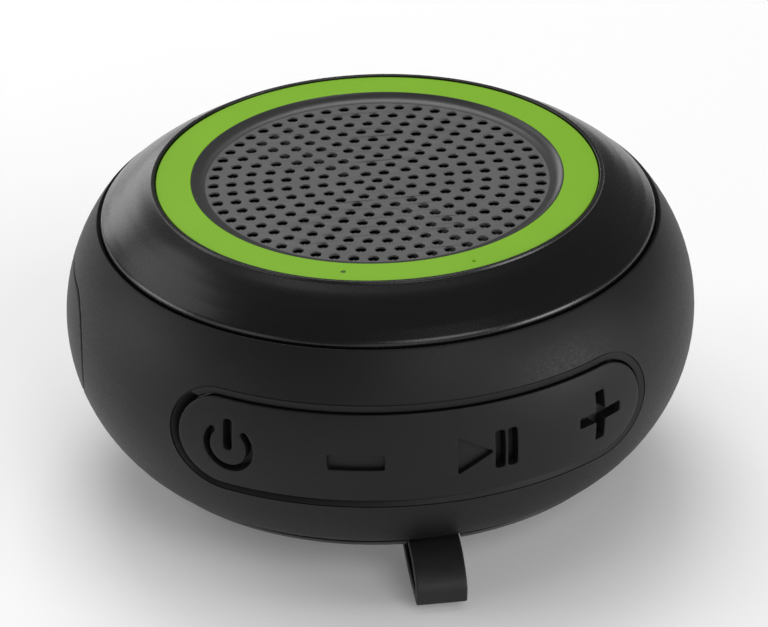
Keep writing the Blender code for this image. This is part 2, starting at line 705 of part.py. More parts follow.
def look_of(name):
    exact = {
        "grip_sleeve": "sleeve_rubber",
        "inner_housing": "black_plastic",
        "front_bezel": "black_plastic",
        "accent_ring": "green_plastic",
        "grille_plate": "painted_grille",
        "splash_membrane": "mesh_film",
        "grille_retainer": "black_plastic",
        "bezel_o_ring": "seal_rubber",
        "rear_o_ring": "seal_rubber",
        "driver_gasket": "foam",
        "driver_basket": "steel",
        "driver_surround": "silicone",
        "driver_cone": "paper",
        "dust_cap": "paper",
        "voice_coil": "copper_wire",
        "driver_spider": "spider_cloth",
        "driver_top_plate": "zinc_steel",
        "driver_magnet": "ferrite",
        "driver_yoke": "zinc_steel",
        "keypad_frame": "silicone",
        "main_board": "board_green",
        "key_board": "board_green",
        "port_board": "board_green",
        "indicator_board": "board_green",
        "bluetooth_module": "zinc_steel",
        "amplifier_chip": "chip_black",
        "capacitor": "chip_black",
        "microphone": "chip_black",
        "battery": "battery_film",
        "battery_pad_left": "foam",
        "battery_pad_right": "foam",
        "usb_socket": "steel",
        "status_led": "white_plastic",
        "light_pipe": "clear_plastic",
        "port_cover": "silicone",
        "rear_cover": "grey_plastic",
        "strap_pin": "steel",
        "strap_loop": "silicone",
        "suction_cup": "cup_rubber",
    }
    if name in exact:
        return exact[name]
    family = {"driver_screw": "steel", "rear_screw": "steel", "key": "silicone",
              "plunger": "white_plastic", "switch": "chip_black"}
    return family[name.rsplit("_", 1)[0]]


def build():
    clear_scene()
    parts = add_collection(NAME)
    cut = Cutters(add_collection("cutters"))
    made = [
        build_sleeve(cut),
        build_housing(cut),
        build_bezel(cut),
        build_ring(cut),
        build_grille(cut),
        *build_front_seals(),
        *build_driver(cut),
        *build_keypad(cut),
        *build_electronics(cut),
        build_port_cover(),
        build_rear_cover(cut),
        *build_rear_hardware(),
        build_suction_cup(),
        build_strap(),
    ]
    for obj in made:
        finish_object(obj, look_of(obj.name), parts)
        smooth_object(obj)


build()
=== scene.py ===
"""Shower speaker: the finished look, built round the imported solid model.

Sizes are written in millimetres and turned into metres by mm(). Z is up through the grille, the keypad
faces -Y, and the floor is z = 0. Azimuths are degrees from -Y towards +X. Parts that wrap round the
barrel are modelled flat, in a (round, up, out) frame, and then wrapped on to it.
"""
import math

import bmesh
import bpy
from mathutils import Matrix, Vector


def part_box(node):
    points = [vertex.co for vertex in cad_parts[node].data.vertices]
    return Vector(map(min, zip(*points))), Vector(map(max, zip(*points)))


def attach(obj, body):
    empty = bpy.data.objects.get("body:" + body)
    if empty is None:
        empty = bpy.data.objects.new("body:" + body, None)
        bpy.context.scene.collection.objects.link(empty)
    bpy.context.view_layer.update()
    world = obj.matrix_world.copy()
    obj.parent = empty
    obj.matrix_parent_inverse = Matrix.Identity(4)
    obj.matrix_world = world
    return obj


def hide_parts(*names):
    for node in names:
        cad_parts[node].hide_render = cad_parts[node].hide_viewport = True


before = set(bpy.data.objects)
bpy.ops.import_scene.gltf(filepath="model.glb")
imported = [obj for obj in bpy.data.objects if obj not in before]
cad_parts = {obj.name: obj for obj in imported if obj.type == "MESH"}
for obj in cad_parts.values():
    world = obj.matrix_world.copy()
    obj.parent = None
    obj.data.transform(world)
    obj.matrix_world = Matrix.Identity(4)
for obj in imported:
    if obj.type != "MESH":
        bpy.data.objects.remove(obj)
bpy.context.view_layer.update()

# Body
BODY_R = 45.0
EQUATOR_Z = 24.9
UPPER_ARC = 24.8
LOWER_ARC = 23.4
FOOT_START_Z = 9.6
FOOT_END = (36.6, 7.95)
FOOT_LENGTH = 3.3
SLEEVE_TOP_Z = 39.85
SLEEVE_T = 2.1
BEZEL_R = 39.35
RING_TOP_Z = 45.55
RING_IN_R = 26.35
RING_OUT_R = 31.25
BEZEL_TURN = 1.5

# Grille
GRILLE_R = 25.1
GRILLE_TOP_Z = 44.62
GRILLE_T = 0.3
HOLE_RINGS = 9
HOLE_PITCH = 2.577
HOLE_R = 0.80
HOLE_SIDES = 18

# Keypad and port cover
KEYPAD_Z = 25.4
KEYPAD_HALF_W = 35.3
KEYPAD_HALF_H = 6.7
KEYPAD_GAP_ENDS = 0.5
KEYPAD_GAP_SIDES = 0.22
KEYPAD_LIP = 0.95
KEYPAD_LIP_DEPTH = 0.4
KEYPAD_LIP_STEEPER = 4.0
KEY_STEP_AZ = 23.1
KEY_HALF_W = 7.4
KEY_HALF_H = 5.1
KEY_SEAM = 0.006
KEY_DRAFT = 0.75
ICON_Z = 25.15
DEEP = 1.7
SHALLOW = 0.75
ICON_EDGE = 0.1
PORT_AZ = -90.0
COVER_HALF_W = 11.2
COVER_HALF_H = 7.8
COVER_GAP = 0.32

# Underside
SCREW_AT_R = 31.0
PIN_Y = -29.0
PIN_Z = 5.0
PIN_R = 0.8
STRAP_X = 2.4
STRAP_HALF_W = 3.55
STRAP_T = 1.5


def mm(value):
    return value * 0.001


def polar(r, azimuth, z):
    a = math.radians(azimuth)
    return (r * math.sin(a), -r * math.cos(a), z)


# Modelling helpers

def deselect_all():
    if bpy.context.object and bpy.context.object.mode != "OBJECT":
        bpy.ops.object.mode_set(mode="OBJECT")
    bpy.ops.object.select_all(action="DESELECT")


def pick(obj):
    """Make one object the selected and active one."""
    deselect_all()
    obj.select_set(True)
    bpy.context.view_layer.objects.active = obj


def add_primitive(kind, name, **settings):
    deselect_all()
    getattr(bpy.ops.mesh, "primitive_%s_add" % kind)(**settings)
    obj = bpy.context.active_object
    obj.name = name
    obj.data.name = name
    return obj


def settle(obj):
    """Put the object's place, turn and scale into its mesh."""
    pick(obj)
    bpy.ops.object.transform_apply(location=True, rotation=True, scale=True)


def edit(obj, mode="VERT"):
    pick(obj)
    bpy.ops.object.mode_set(mode="EDIT")
    bpy.ops.mesh.select_mode(type=mode)


def leave():
    bpy.ops.object.mode_set(mode="OBJECT")


def clean(obj, reach=0.002):
    """Weld doubles and face every wall outwards."""
    edit(obj)
    bpy.ops.mesh.select_all(action="SELECT")
    bpy.ops.mesh.remove_doubles(threshold=mm(reach))
    bpy.ops.mesh.normals_make_consistent(inside=False)
    leave()


def apply_modifier(obj, kind, **settings):
    pick(obj)
    modifier = obj.modifiers.new(kind.lower(), kind)
    for key, value in settings.items():
        setattr(modifier, key, value)
    bpy.ops.object.modifier_apply(modifier=modifier.name)


def combine(obj, tool, operation="DIFFERENCE"):
    """Cut or join with another piece, which is used up."""
    apply_modifier(obj, "BOOLEAN", operation=operation, solver="EXACT", object=tool)
    bpy.data.objects.remove(tool, do_unlink=True)


def soften(obj, degrees=35.0):
    """Smooth shading that keeps flats flat and creases crisp."""
    pick(obj)
    bpy.ops.object.shade_smooth_by_angle(angle=math.radians(degrees))
    apply_modifier(obj, "WEIGHTED_NORMAL", weight=60, keep_sharp=True)


def select_points(obj, test):
    """In edit mode, select the points that pass a test of their place in millimetres."""
    bpy.ops.mesh.select_all(action="DESELECT")
    mesh = bmesh.from_edit_mesh(obj.data)
    for v in mesh.verts:
        v.select = test(*(v.co * 1000.0))
    mesh.select_flush(True)
    bmesh.update_edit_mesh(obj.data)


def bevel_where(obj, test, width, segments=2, shape=0.5):
    """Round the edges whose two ends pass a test of their place in millimetres."""
    edit(obj, "EDGE")
    bpy.ops.mesh.select_all(action="DESELECT")
    mesh = bmesh.from_edit_mesh(obj.data)
    for edge in mesh.edges:
        if all(test(*(v.co * 1000.0)) for v in edge.verts):
            if edge.calc_face_angle(0.0) > 0.3:
                edge.select = True
    bmesh.update_edit_mesh(obj.data)
    bpy.ops.mesh.bevel(offset=mm(width), offset_type="OFFSET", segments=segments, profile=shape,
                       affect="EDGES", clamp_overlap=False)
    leave()


def rounded(corners, steps=4):
    """A sketched outline with its corners rounded: each corner is (x, y, radius)."""
    points = []
    count = len(corners)
    for i, (x, y, radius) in enumerate(corners):
        here = Vector((x, y))
        if radius <= 0.0:
            points.append((x, y))
            continue
        before = Vector(corners[i - 1][:2]) - here
        after = Vector(corners[(i + 1) % count][:2]) - here
        opening = before.angle(after)
        reach = radius / math.tan(opening / 2.0)
        start = here + before.normalized() * reach
        end = here + after.normalized() * reach
        middle = (before.normalized() + after.normalized()).normalized()
        centre = here + middle * (radius / math.sin(opening / 2.0))
        for k in range(steps + 1):
            t = k / steps
            a = start - centre
            b = end - centre
            turn = a.angle(b)
            p = (a * math.sin((1.0 - t) * turn) + b * math.sin(t * turn)) / math.sin(turn)
            points.append((centre.x + p.x, centre.y + p.y))
    return points


def turned(name, outline, sides=192):
    """A piece turned about Z: a circle pulled through each (radius, height) of a closed outline."""
    r, z = outline[0]
    obj = add_primitive("circle", name, vertices=sides, radius=mm(r), location=(0.0, 0.0, mm(z)))
    settle(obj)
    edit(obj)
    bpy.ops.mesh.select_all(action="SELECT")
    for (r1, z1), (r2, z2) in zip(outline, outline[1:]):
        bpy.ops.mesh.extrude_edges_move(
            TRANSFORM_OT_translate={"value": (0.0, 0.0, mm(z2 - z1))})
        bpy.ops.transform.resize(value=(r2 / r1, r2 / r1, 1.0), center_override=(0.0, 0.0, 0.0))
    bpy.ops.mesh.select_all(action="DESELECT")
    bpy.ops.mesh.select_non_manifold()
    bpy.ops.mesh.bridge_edge_loops()
    leave()
    clean(obj)
    return obj


def plate(name, outlines, low, high, dissolve=True):
    """A flat plate between two heights, from closed outlines, the later ones being holes."""
    curve = bpy.data.curves.new(name, "CURVE")
    curve.dimensions = "2D"
    curve.fill_mode = "BOTH"
    curve.extrude = mm(high - low) / 2.0
    for outline in outlines:
        spline = curve.splines.new("POLY")
        spline.points.add(len(outline) - 1)
        for target, (x, y) in zip(spline.points, outline):
            target.co = (mm(x), mm(y), 0.0, 1.0)
        spline.use_cyclic_u = True
    obj = bpy.data.objects.new(name, curve)
    bpy.context.scene.collection.objects.link(obj)
    obj.location = (0.0, 0.0, mm(low + high) / 2.0)
    pick(obj)
    bpy.ops.object.convert(target="MESH")
    obj = bpy.context.active_object
    settle(obj)
    clean(obj)
    if dissolve:
        edit(obj, "FACE")
        bpy.ops.mesh.select_all(action="SELECT")
        bpy.ops.mesh.dissolve_limited(angle_limit=math.radians(0.5))
        leave()
    return obj


def stadium(x, y, half_w, half_h, steps=28):
    flat = half_w - half_h
    points = []
    for side in (1.0, -1.0):
        for k in range(steps + 1):
            a = math.pi * k / steps
            points.append((x + side * (flat + half_h * math.sin(a)),
                           y + side * half_h * math.cos(a)))
    return points


def ellipse(x, y, half_w, half_h, steps=72):
    turn = [math.tau * k / steps for k in range(steps)]
    return [(x + half_w * math.cos(a), y + half_h * math.sin(a)) for a in turn]


def score(obj, places, axis):
    """Cut lines across a flat piece, so that it can follow a curve."""
    edit(obj, "FACE")
    for place in places:
        at = [0.0, 0.0, 0.0]
        at[axis] = mm(place)
        way = [0.0, 0.0, 0.0]
        way[axis] = 1.0
        bpy.ops.mesh.select_all(action="SELECT")
        bpy.ops.mesh.bisect(plane_co=at, plane_no=way, threshold=0.000001)
    leave()


def barrel(z):
    """(radius, height, outward r, outward z) on the outside of the sleeve."""
    if z >= FOOT_START_Z:
        arc = UPPER_ARC if z > EQUATOR_Z else LOWER_ARC
        dz = z - EQUATOR_Z
        across = math.sqrt(arc * arc - dz * dz)
        return BODY_R - arc + across, z, across / arc, dz / arc
    r0, z0, nr, nz = barrel(FOOT_START_Z)
    r2, z2 = FOOT_END
    r1 = r0 + nz * (z0 - z2) / nr
    t = min(1.0, (FOOT_START_Z - z) / FOOT_LENGTH)
    a, b, c = (1.0 - t) ** 2, 2.0 * t * (1.0 - t), t * t
    r = a * r0 + b * r1 + c * r2
    h = a * z0 + b * z2 + c * z2
    dr = 2.0 * (1.0 - t) * (r1 - r0) + 2.0 * t * (r2 - r1)
    dh = 2.0 * (1.0 - t) * (z2 - z0)
    size = math.hypot(dr, dh)
    return r, h, -dh / size, dr / size


def wrap(obj, azimuth=0.0, thin_edges=False):
    """Bend a flat piece on to the barrel: x goes round, y goes up, z stands out."""
    start = math.radians(azimuth)
    foot = FOOT_START_Z - FOOT_LENGTH
    for v in obj.data.vertices:
        x, y, out = v.co * 1000.0
        if thin_edges and out < 0.0:
            out *= min(1.0, 0.3 + 0.7 * (y - foot) / 4.0, 0.3 + 0.7 * (SLEEVE_TOP_Z - y) / 4.0)
        r, h, nr, nz = barrel(y)
        a = start + x / BODY_R
        r += out * nr
        v.co = (mm(r * math.sin(a)), mm(-r * math.cos(a)), mm(h + out * nz))
    obj.data.update()


def steps_between(a, b, size):
    count = max(1, round((b - a) / size))
    return [a + (b - a) * i / count for i in range(count + 1)]


# Materials. Grain finer than about 0.3 mm doesn't show, so it is drawn at that size.

def linear(code, alpha=1.0):
    """An sRGB hex colour as linear red, green, blue and alpha."""
    parts = [int(code[i:i + 2], 16) / 255.0 for i in (1, 3, 5)]
    return (*[c / 12.92 if c <= 0.04045 else ((c + 0.055) / 1.055) ** 2.4 for c in parts], alpha)


def add_node(material, kind, sockets=None, **settings):
    """Add a node, set its settings, and fill or link its sockets."""
    tree = material.node_tree
    node = tree.nodes.new(kind)
    for key, value in settings.items():
        setattr(node, key, value)
    for key, value in (sockets or {}).items():
        if isinstance(value, bpy.types.NodeSocket):
            tree.links.new(value, node.inputs[key])
        else:
            node.inputs[key].default_value = value
    return node


def new_finish(name):
    """An empty material, with its Principled shader and its object coordinates."""
    material = bpy.data.materials.new(name)
    material.use_nodes = True
    shader = material.node_tree.nodes["Principled BSDF"]
    place = add_node(material, "ShaderNodeTexCoord").outputs["Object"]
    return material, shader, place


def link(material, source, target):
    material.node_tree.links.new(source, target)


def moulded(name, dark, light, roughness, spread, grain, relief, patch=9.0, ior=1.5,
            specular=0.5, coat=0.0, sheen=0.0, metallic=0.0, transmission=0.0,
            stretch=(1.0, 1.0, 1.0)):
    """A moulded or coated finish: its colour drifts softly over patches of a size in mm, and a fine
    grain of a size in mm breaks its gloss and stands up by a relief in mm."""
    material, shader, place = new_finish(name)
    turned_place = add_node(material, "ShaderNodeMapping", {"Vector": place, "Scale": stretch})
    at = turned_place.outputs["Vector"]
    cloud = add_node(material, "ShaderNodeTexNoise",
                     {"Vector": at, "Scale": 1000.0 / patch, "Detail": 4.0, "Roughness": 0.55})
    tone = add_node(material, "ShaderNodeValToRGB", {"Fac": cloud.outputs["Fac"]})
    tone.color_ramp.elements[0].position = 0.3
    tone.color_ramp.elements[0].color = linear(dark)
    tone.color_ramp.elements[1].position = 0.7
    tone.color_ramp.elements[1].color = linear(light)
    link(material, tone.outputs["Color"], shader.inputs["Base Color"])
    pits = add_node(material, "ShaderNodeTexNoise",
                    {"Vector": at, "Scale": 1000.0 / grain, "Detail": 3.0, "Roughness": 0.6})
    gloss = add_node(material, "ShaderNodeMapRange",
                     {"Value": pits.outputs["Fac"], "From Min": 0.3, "From Max": 0.7,
                      "To Min": roughness - spread, "To Max": roughness + spread})
    link(material, gloss.outputs["Result"], shader.inputs["Roughness"])
    bump = add_node(material, "ShaderNodeBump",
                    {"Height": pits.outputs["Fac"], "Strength": 1.0, "Distance": mm(relief)})
    link(material, bump.outputs["Normal"], shader.inputs["Normal"])
    shader.inputs["IOR"].default_value = ior
    shader.inputs["Specular IOR Level"].default_value = specular
    shader.inputs["Coat Weight"].default_value = coat
    shader.inputs["Coat Roughness"].default_value = 0.2
    shader.inputs["Sheen Weight"].default_value = sheen
    shader.inputs["Metallic"].default_value = metallic
    shader.inputs["Transmission Weight"].default_value = transmission
    return material


# Overmoulded thermoplastic rubber, spark-eroded tool: matt, with soft broad highlights
sleeve_rubber = moulded("thermoplastic_rubber_matt_moulded", "#111112", "#151516",
                        0.50, 0.06, 0.35, 0.006, specular=0.25)
# Silicone keypad, cast in a fine blasted tool: a little smoother than the sleeve
keypad_silicone = moulded("silicone_rubber_blast_moulded", "#111112", "#141415",
                          0.50, 0.05, 0.30, 0.004, specular=0.25)
# Silicone strap: the same rubber, with more dust-grey worn on it
strap_silicone = moulded("silicone_rubber_strap_moulded", "#1a1a1b", "#222223",
                         0.50, 0.08, 0.45, 0.008, patch=4.0, specular=0.35)
# Bezel: black ABS with a satin tool, so that light runs along it in wide soft bands
bezel_abs = moulded("abs_black_satin_moulded", "#09090a", "#0b0b0c",
                    0.27, 0.01, 0.30, 0.0002, ior=1.53, specular=0.45)
# Ring: green polycarbonate, moulded through-colour, even and slightly soft in gloss
ring_polycarbonate = moulded("polycarbonate_green_moulded", "#93d422", "#98d827",
                             0.45, 0.03, 0.40, 0.002, patch=14.0, ior=1.58, specular=0.25)
# Grille: punched steel with a grey paint, so the face is even and the hole edges shine a little
grille_paint = moulded("steel_punched_grey_painted", "#666667", "#6c6c6d",
                       0.42, 0.05, 0.25, 0.004, patch=6.0)
# Grille border: the same steel and grey satin paint, darkened as painted shade for the recess wall
# where it curves up to the ring
rim_painted_shade = moulded("steel_pressed_grey_paint_with_painted_shade", "#39393a", "#3f3f40", 0.32, 0.04, 0.25, 0.003,
                    patch=6.0)
# Splash film: taut black polyester, glossy
film_polyester = moulded("polyester_film_black_glossy", "#060606", "#080808",
                         0.16, 0.02, 1.2, 0.004)
# Rear cover: grey ABS, coarser spark-eroded tool
rear_abs = moulded("abs_grey_spark_eroded", "#343435", "#39393a",
                   0.50, 0.06, 0.40, 0.008)
# Suction cup: soft dark vinyl, nearly glossy so that it seals
cup_vinyl = moulded("vinyl_soft_dark_polished", "#2a2b2d", "#303134",
                    0.24, 0.04, 2.0, 0.004, ior=1.53)
# Screws, pin and pressed shields: zinc-plated steel, bright with a faint clouding
bright_steel = moulded("steel_zinc_plated", "#b4b6b8", "#c6c7c8", 0.30, 0.06, 0.3, 0.003,
                       metallic=1.0)
# Driver basket: pressed steel with a black dip coat, half glossy with a slight orange peel
basket_coat = moulded("steel_pressed_black_dipped", "#141415", "#1a1a1b", 0.34, 0.05, 0.9, 0.01,
                      coat=0.2)
# Magnet: sintered ferrite, dark grey, dull and grainy
ferrite = moulded("ferrite_sintered", "#2a2a2c", "#343436", 0.55, 0.08, 0.2, 0.012, patch=5.0)
# Cone and dust cap: pressed paper pulp, with fibres that lie at random
paper_pulp = moulded("paper_pulp_pressed_black", "#1b1b1c", "#29292a", 0.72, 0.08, 0.25, 0.02,
                     patch=1.4, sheen=0.15)
# Surround: rolled butyl rubber, smooth and soft in gloss
butyl = moulded("butyl_rubber_rolled", "#101011", "#151516", 0.42, 0.05, 0.5, 0.004)
# Boards: woven glass and resin under green solder mask, glossy over a faint weave
board_green = moulded("fibreglass_solder_masked", "#123a20", "#18482a", 0.26, 0.05, 0.4, 0.006,
                      patch=3.0, coat=0.4)
# Chips: black epoxy, transfer-moulded in a fine matt tool
epoxy_black = moulded("epoxy_black_transfer_moulded", "#161617", "#1d1d1e", 0.55, 0.06, 0.15,
                      0.004, patch=2.0)
# Shields and cans: drawn nickel silver, with a fine grain drawn one way
nickel_can = moulded("nickel_silver_drawn", "#b9b4aa", "#c8c3b8", 0.28, 0.07, 0.2, 0.003,
                     stretch=(0.15, 1.0, 1.0), metallic=1.0)
# Battery: blue shrink film over a pouch, glossy with slow ripples
shrink_film = moulded("pvc_shrink_film_blue", "#1d3f78", "#234a8a", 0.22, 0.04, 3.0, 0.03,
                      patch=12.0, coat=0.3)
# Pads and gasket: closed-cell foam, cut from sheet, with cells that show at its face
cell_foam = moulded("eva_foam_closed_cell", "#1c1c1d", "#272728", 0.85, 0.06, 0.35, 0.05,
                    patch=1.0)
# Seals: moulded orange silicone, a little waxy
seal_silicone = moulded("silicone_rubber_orange_moulded", "#b5521c", "#c05c22", 0.40, 0.05, 0.5,
                        0.004)
# Coil: enamelled copper wire, wound in fine rings up the former
wound_copper = moulded("copper_wire_enamelled", "#b0663a", "#d08a52", 0.25, 0.08, 0.25, 0.03,
                       stretch=(0.05, 0.05, 1.0), metallic=1.0)
# Contacts: gold plate, fine and warm
gold_contacts = moulded("gold_plated_bronze", "#d9b25a", "#e6c26c", 0.22, 0.05, 0.2, 0.002,
                        metallic=1.0)
# Socket tongue and switch bodies: black glass-filled nylon, slightly mottled
black_nylon = moulded("nylon_glass_filled_black", "#151516", "#202021", 0.48, 0.07, 0.25, 0.006,
                      patch=1.5)
# Plungers: white acetal, turned smooth, waxy
white_acetal = moulded("acetal_white_turned", "#dcdcd8", "#e8e8e4", 0.32, 0.04, 0.4, 0.003)
# Light pipe: frosted green polycarbonate, its tint darkened as painted shade for the pinholes in the
# ring above it
pipe_with_painted_shade = moulded("polycarbonate_green_frosted_painted_shade", "#5c8426", "#668f2e", 0.30, 0.08, 0.3, 0.004,
                     ior=1.585, transmission=0.6)


def woven(name, dark, light, pitch, roughness):
    """A plain open weave: two sets of threads, pitch mm apart, stiffened with resin."""
    material, shader, place = new_finish(name)
    scale = math.pi / mm(pitch) / 20.0
    rows = [add_node(material, "ShaderNodeTexWave", {"Vector": place, "Scale": scale,
                     "Distortion": 0.3, "Detail": 1.0}, bands_direction=way).outputs["Fac"]
            for way in ("X", "Y")]
    cloth = add_node(material, "ShaderNodeMath", {0: rows[0], 1: rows[1]}, operation="MULTIPLY")
    tone = add_node(material, "ShaderNodeValToRGB", {"Fac": cloth.outputs["Value"]})
    tone.color_ramp.elements[0].color = linear(dark)
    tone.color_ramp.elements[1].color = linear(light)
    link(material, tone.outputs["Color"], shader.inputs["Base Color"])
    bump = add_node(material, "ShaderNodeBump",
                    {"Height": cloth.outputs["Value"], "Distance": mm(0.08)})
    link(material, bump.outputs["Normal"], shader.inputs["Normal"])
    shader.inputs["Roughness"].default_value = roughness
    return material


# Spider: cotton weave stiffened with amber resin, threads 0.6 mm apart
spider_cloth = woven("cotton_weave_resin_stiffened", "#8a6a34", "#c9a763", 0.6, 0.6)


# Camera, lights and floor

scene = bpy.context.scene
scene.view_settings.view_transform = "Standard"
scene.view_settings.look = "None"

lens = bpy.data.cameras.new("camera")
lens.sensor_width = 36.0
lens.lens = 187.84
lens.clip_start = 0.01
lens.clip_end = 20.0
camera = bpy.data.objects.new("camera", lens)
scene.collection.objects.link(camera)
camera.location = (-0.05783, -0.49981, 0.30521)
camera.rotation_euler = [math.radians(a) for a in (60.69967, 1.26990, -7.36721)]
scene.camera = camera

world = bpy.data.worlds.new("studio_air")
scene.world = world
world.use_nodes = True
world.node_tree.nodes["Background"].inputs["Color"].default_value = linear("#ffffff")
world.node_tree.nodes["Background"].inputs["Strength"].default_value = 0.146


def softbox(name, azimuth, elevation, distance, size, power, colour="#ffffff"):
    """A square studio light that faces the object."""
    data = bpy.data.lights.new(name, "AREA")
    data.shape = "RECTANGLE"
    data.size, data.size_y = size
    data.energy = power
    data.color = linear(colour)[:3]
    obj = bpy.data.objects.new(name, data)
    scene.collection.objects.link(obj)
    e = math.radians(elevation)
    x, y, _ = polar(distance * math.cos(e), azimuth, 0.0)
    obj.location = (x, y, distance * math.sin(e) + 0.02)
    aim = Vector((0.0, 0.0, 0.02)) - obj.location
    obj.rotation_euler = aim.to_track_quat("-Z", "Y").to_euler()
    return obj


# Low side lights roll round the barrel, weaker high ones shape the bezel, and one is for the floor
softbox("low_right", 60.0, 8.0, 0.9, (0.45, 0.25), 3.1)
softbox("low_left", -100.0, 8.0, 0.9, (0.45, 0.25), 1.5)
softbox("low_front_left", -60.0, 8.0, 0.9, (0.45, 0.25), 0.45)
softbox("low_back_left", -157.0, 12.0, 0.9, (0.45, 0.3), 0.9)
softbox("low_front", 0.0, 8.0, 0.9, (0.45, 0.25), 0.35)
softbox("high_left", -115.0, 35.0, 0.9, (0.6, 0.45), 1.0)
softbox("high_front", 20.0, 35.0, 0.9, (0.45, 0.45), 2.0)
softbox("high_back", 180.0, 58.0, 0.9, (0.45, 0.45), 2.3)
floor_light = softbox("overhead_floor", 180.0, 78.0, 1.2, (1.2, 1.2), 6.0)

floor = add_primitive("plane", "floor", size=6.0, location=(0.0, 0.0, -0.0002))
floor.data.materials.append(bpy.data.materials.new("studio_floor"))
floor_finish = floor.data.materials[0]
floor_finish.use_nodes = True
floor_shader = floor_finish.node_tree.nodes["Principled BSDF"]
floor_shader.inputs["Base Color"].default_value = linear("#f4f4f4")
floor_shader.inputs["Roughness"].default_value = 0.9
floor_shader.inputs["Emission Color"].default_value = linear("#ffffff")
floor_shader.inputs["Emission Strength"].default_value = 0.08
floor_only = bpy.data.collections.new("lit_by_overhead")
floor_only.objects.link(floor)
floor_light.light_linking.receiver_collection = floor_only


def finish(obj, material, body, *nodes):
    """Give a piece its material, its body and the solids that it stands for."""
    obj.data.materials.clear()
    obj.data.materials.append(material)
    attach(obj, body)
    if nodes:
        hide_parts(*nodes)


# Sleeve

def make_sleeve():
    low = FOOT_START_Z - FOOT_LENGTH
    half = math.pi * BODY_R
    edge = [(-half, low), (half, low), (half, SLEEVE_TOP_Z), (-half, SLEEVE_TOP_Z)]
    sleeve = plate("grip_sleeve_skin", [edge], -SLEEVE_T, 0.0)
    window_w = KEYPAD_HALF_W + KEYPAD_GAP_ENDS
    window_h = KEYPAD_HALF_H + KEYPAD_GAP_SIDES
    window = plate("window", [stadium(0.0, KEYPAD_Z, window_w, window_h)], -5.0, 5.0)
    port_x = math.radians(PORT_AZ) * BODY_R
    port_w = COVER_HALF_W + COVER_GAP
    port_h = COVER_HALF_H + COVER_GAP
    port = plate("port", [stadium(port_x, KEYPAD_Z, port_w, port_h)], -5.0, 5.0)
    combine(sleeve, window)
    combine(sleeve, port)

    def keypad_rim(x, y, z):
        return abs(z) < 0.01 and abs(x) < 38.0 and abs(y - KEYPAD_Z) < 8.0

    def port_rim(x, y, z):
        return abs(z) < 0.01 and abs(x - port_x) < 13.0 and abs(y - KEYPAD_Z) < 9.0

    def upper_edge(x, y, z):
        return z > -0.01 and y > SLEEVE_TOP_Z - 0.01

    def lower_edge(x, y, z):
        return z > -0.01 and y < low + 0.01

    def lip_foot(x, y, z):
        return (abs(x) < 38.0 and abs(y - KEYPAD_Z) < 9.0
                and -KEYPAD_LIP - 0.01 < z < -0.01)

    def lip_foot_left(x, y, z):
        return (-38.0 < x < -28.7 and -8.5 < y - KEYPAD_Z < 5.5
                and -KEYPAD_LIP < z < -0.01)

    bevel_where(sleeve, keypad_rim, KEYPAD_LIP, 1)
    edit(sleeve)
    select_points(sleeve, lip_foot)
    bpy.ops.transform.resize(value=(1.0, 1.0, KEYPAD_LIP_DEPTH / KEYPAD_LIP),
                             center_override=(0.0, 0.0, 0.0))
    select_points(sleeve, lip_foot_left)
    bpy.ops.transform.resize(value=(1.0, 1.0, KEYPAD_LIP_STEEPER), center_override=(0.0, 0.0, 0.0))
    leave()
    groove_w = window_w + KEYPAD_LIP
    groove_h = window_h + KEYPAD_LIP
    groove = plate("groove", [stadium(0.0, KEYPAD_Z, groove_w + 0.1, groove_h + 0.1),
                              stadium(0.0, KEYPAD_Z, groove_w - 0.07, groove_h - 0.07)],
                   -0.2, 1.0)
    combine(sleeve, groove)
    bevel_where(sleeve, port_rim, 0.18, 2)
    bevel_where(sleeve, upper_edge, 0.25, 3)
    bevel_where(sleeve, lower_edge, 0.3, 3)
    score(sleeve, steps_between(-half, half, half / 80.0)[1:-1], 0)
    score(sleeve, steps_between(low, SLEEVE_TOP_Z, 1.2)[1:-1], 1)
    edit(sleeve, "FACE")
    bpy.ops.mesh.select_all(action="DESELECT")
    mesh = bmesh.from_edit_mesh(sleeve.data)
    for face in mesh.faces:
        face.select = all(abs(abs(v.co.x) - mm(half)) < 0.000002 for v in face.verts)
    bmesh.update_edit_mesh(sleeve.data)
    bpy.ops.mesh.delete(type="FACE")
    leave()
    wrap(sleeve, thin_edges=True)
    clean(sleeve)
    soften(sleeve, 40.0)
    finish(sleeve, sleeve_rubber, "case", "grip_sleeve")
    return sleeve


# Keypad

def power_outlines():
    """The arc and the bar of a power sign, centred on (0, 0)."""
    radius, half, gap = 3.3, 0.5, math.radians(48.0)
    start, end = math.pi / 2 + gap, math.tau + math.pi / 2 - gap
    points = []
    for side, a0, a1 in ((1.0, start, end), (-1.0, end, start)):
        r = radius + side * half
        points += [(r * math.cos(a0 + (a1 - a0) * k / 40), r * math.sin(a0 + (a1 - a0) * k / 40))
                   for k in range(41)]
        tip_x, tip_y = radius * math.cos(a1), radius * math.sin(a1)
        turn = a1 if side > 0.0 else a1 + math.pi
        points += [(tip_x + half * math.cos(turn + math.pi * k / 10),
                    tip_y + half * math.sin(turn + math.pi * k / 10)) for k in range(1, 10)]
    bar = rounded([(-0.65, -0.4, 0.5), (0.65, -0.4, 0.5), (0.65, 4.2, 0.5), (-0.65, 4.2, 0.5)])
    return (DEEP, points), (DEEP, bar)


def minus_outlines():
    corners = [(-3.9, -1.15, 0.3), (3.9, -1.15, 0.3), (3.9, 1.15, 0.3), (-3.9, 1.15, 0.3)]
    return ((SHALLOW, rounded(corners)),)


def play_outlines():
    triangle = rounded([(-4.25, -2.85, 0.2), (0.85, 0.0, 0.2), (-4.25, 2.85, 0.2)])
    bars = []
    for x in (1.05, 2.88):
        bars.append((DEEP, rounded([(x, -2.9, 0.45), (x + 1.45, -2.9, 0.45),
                                    (x + 1.45, 2.9, 0.45), (x, 2.9, 0.45)])))
    return ((SHALLOW, triangle), *bars)


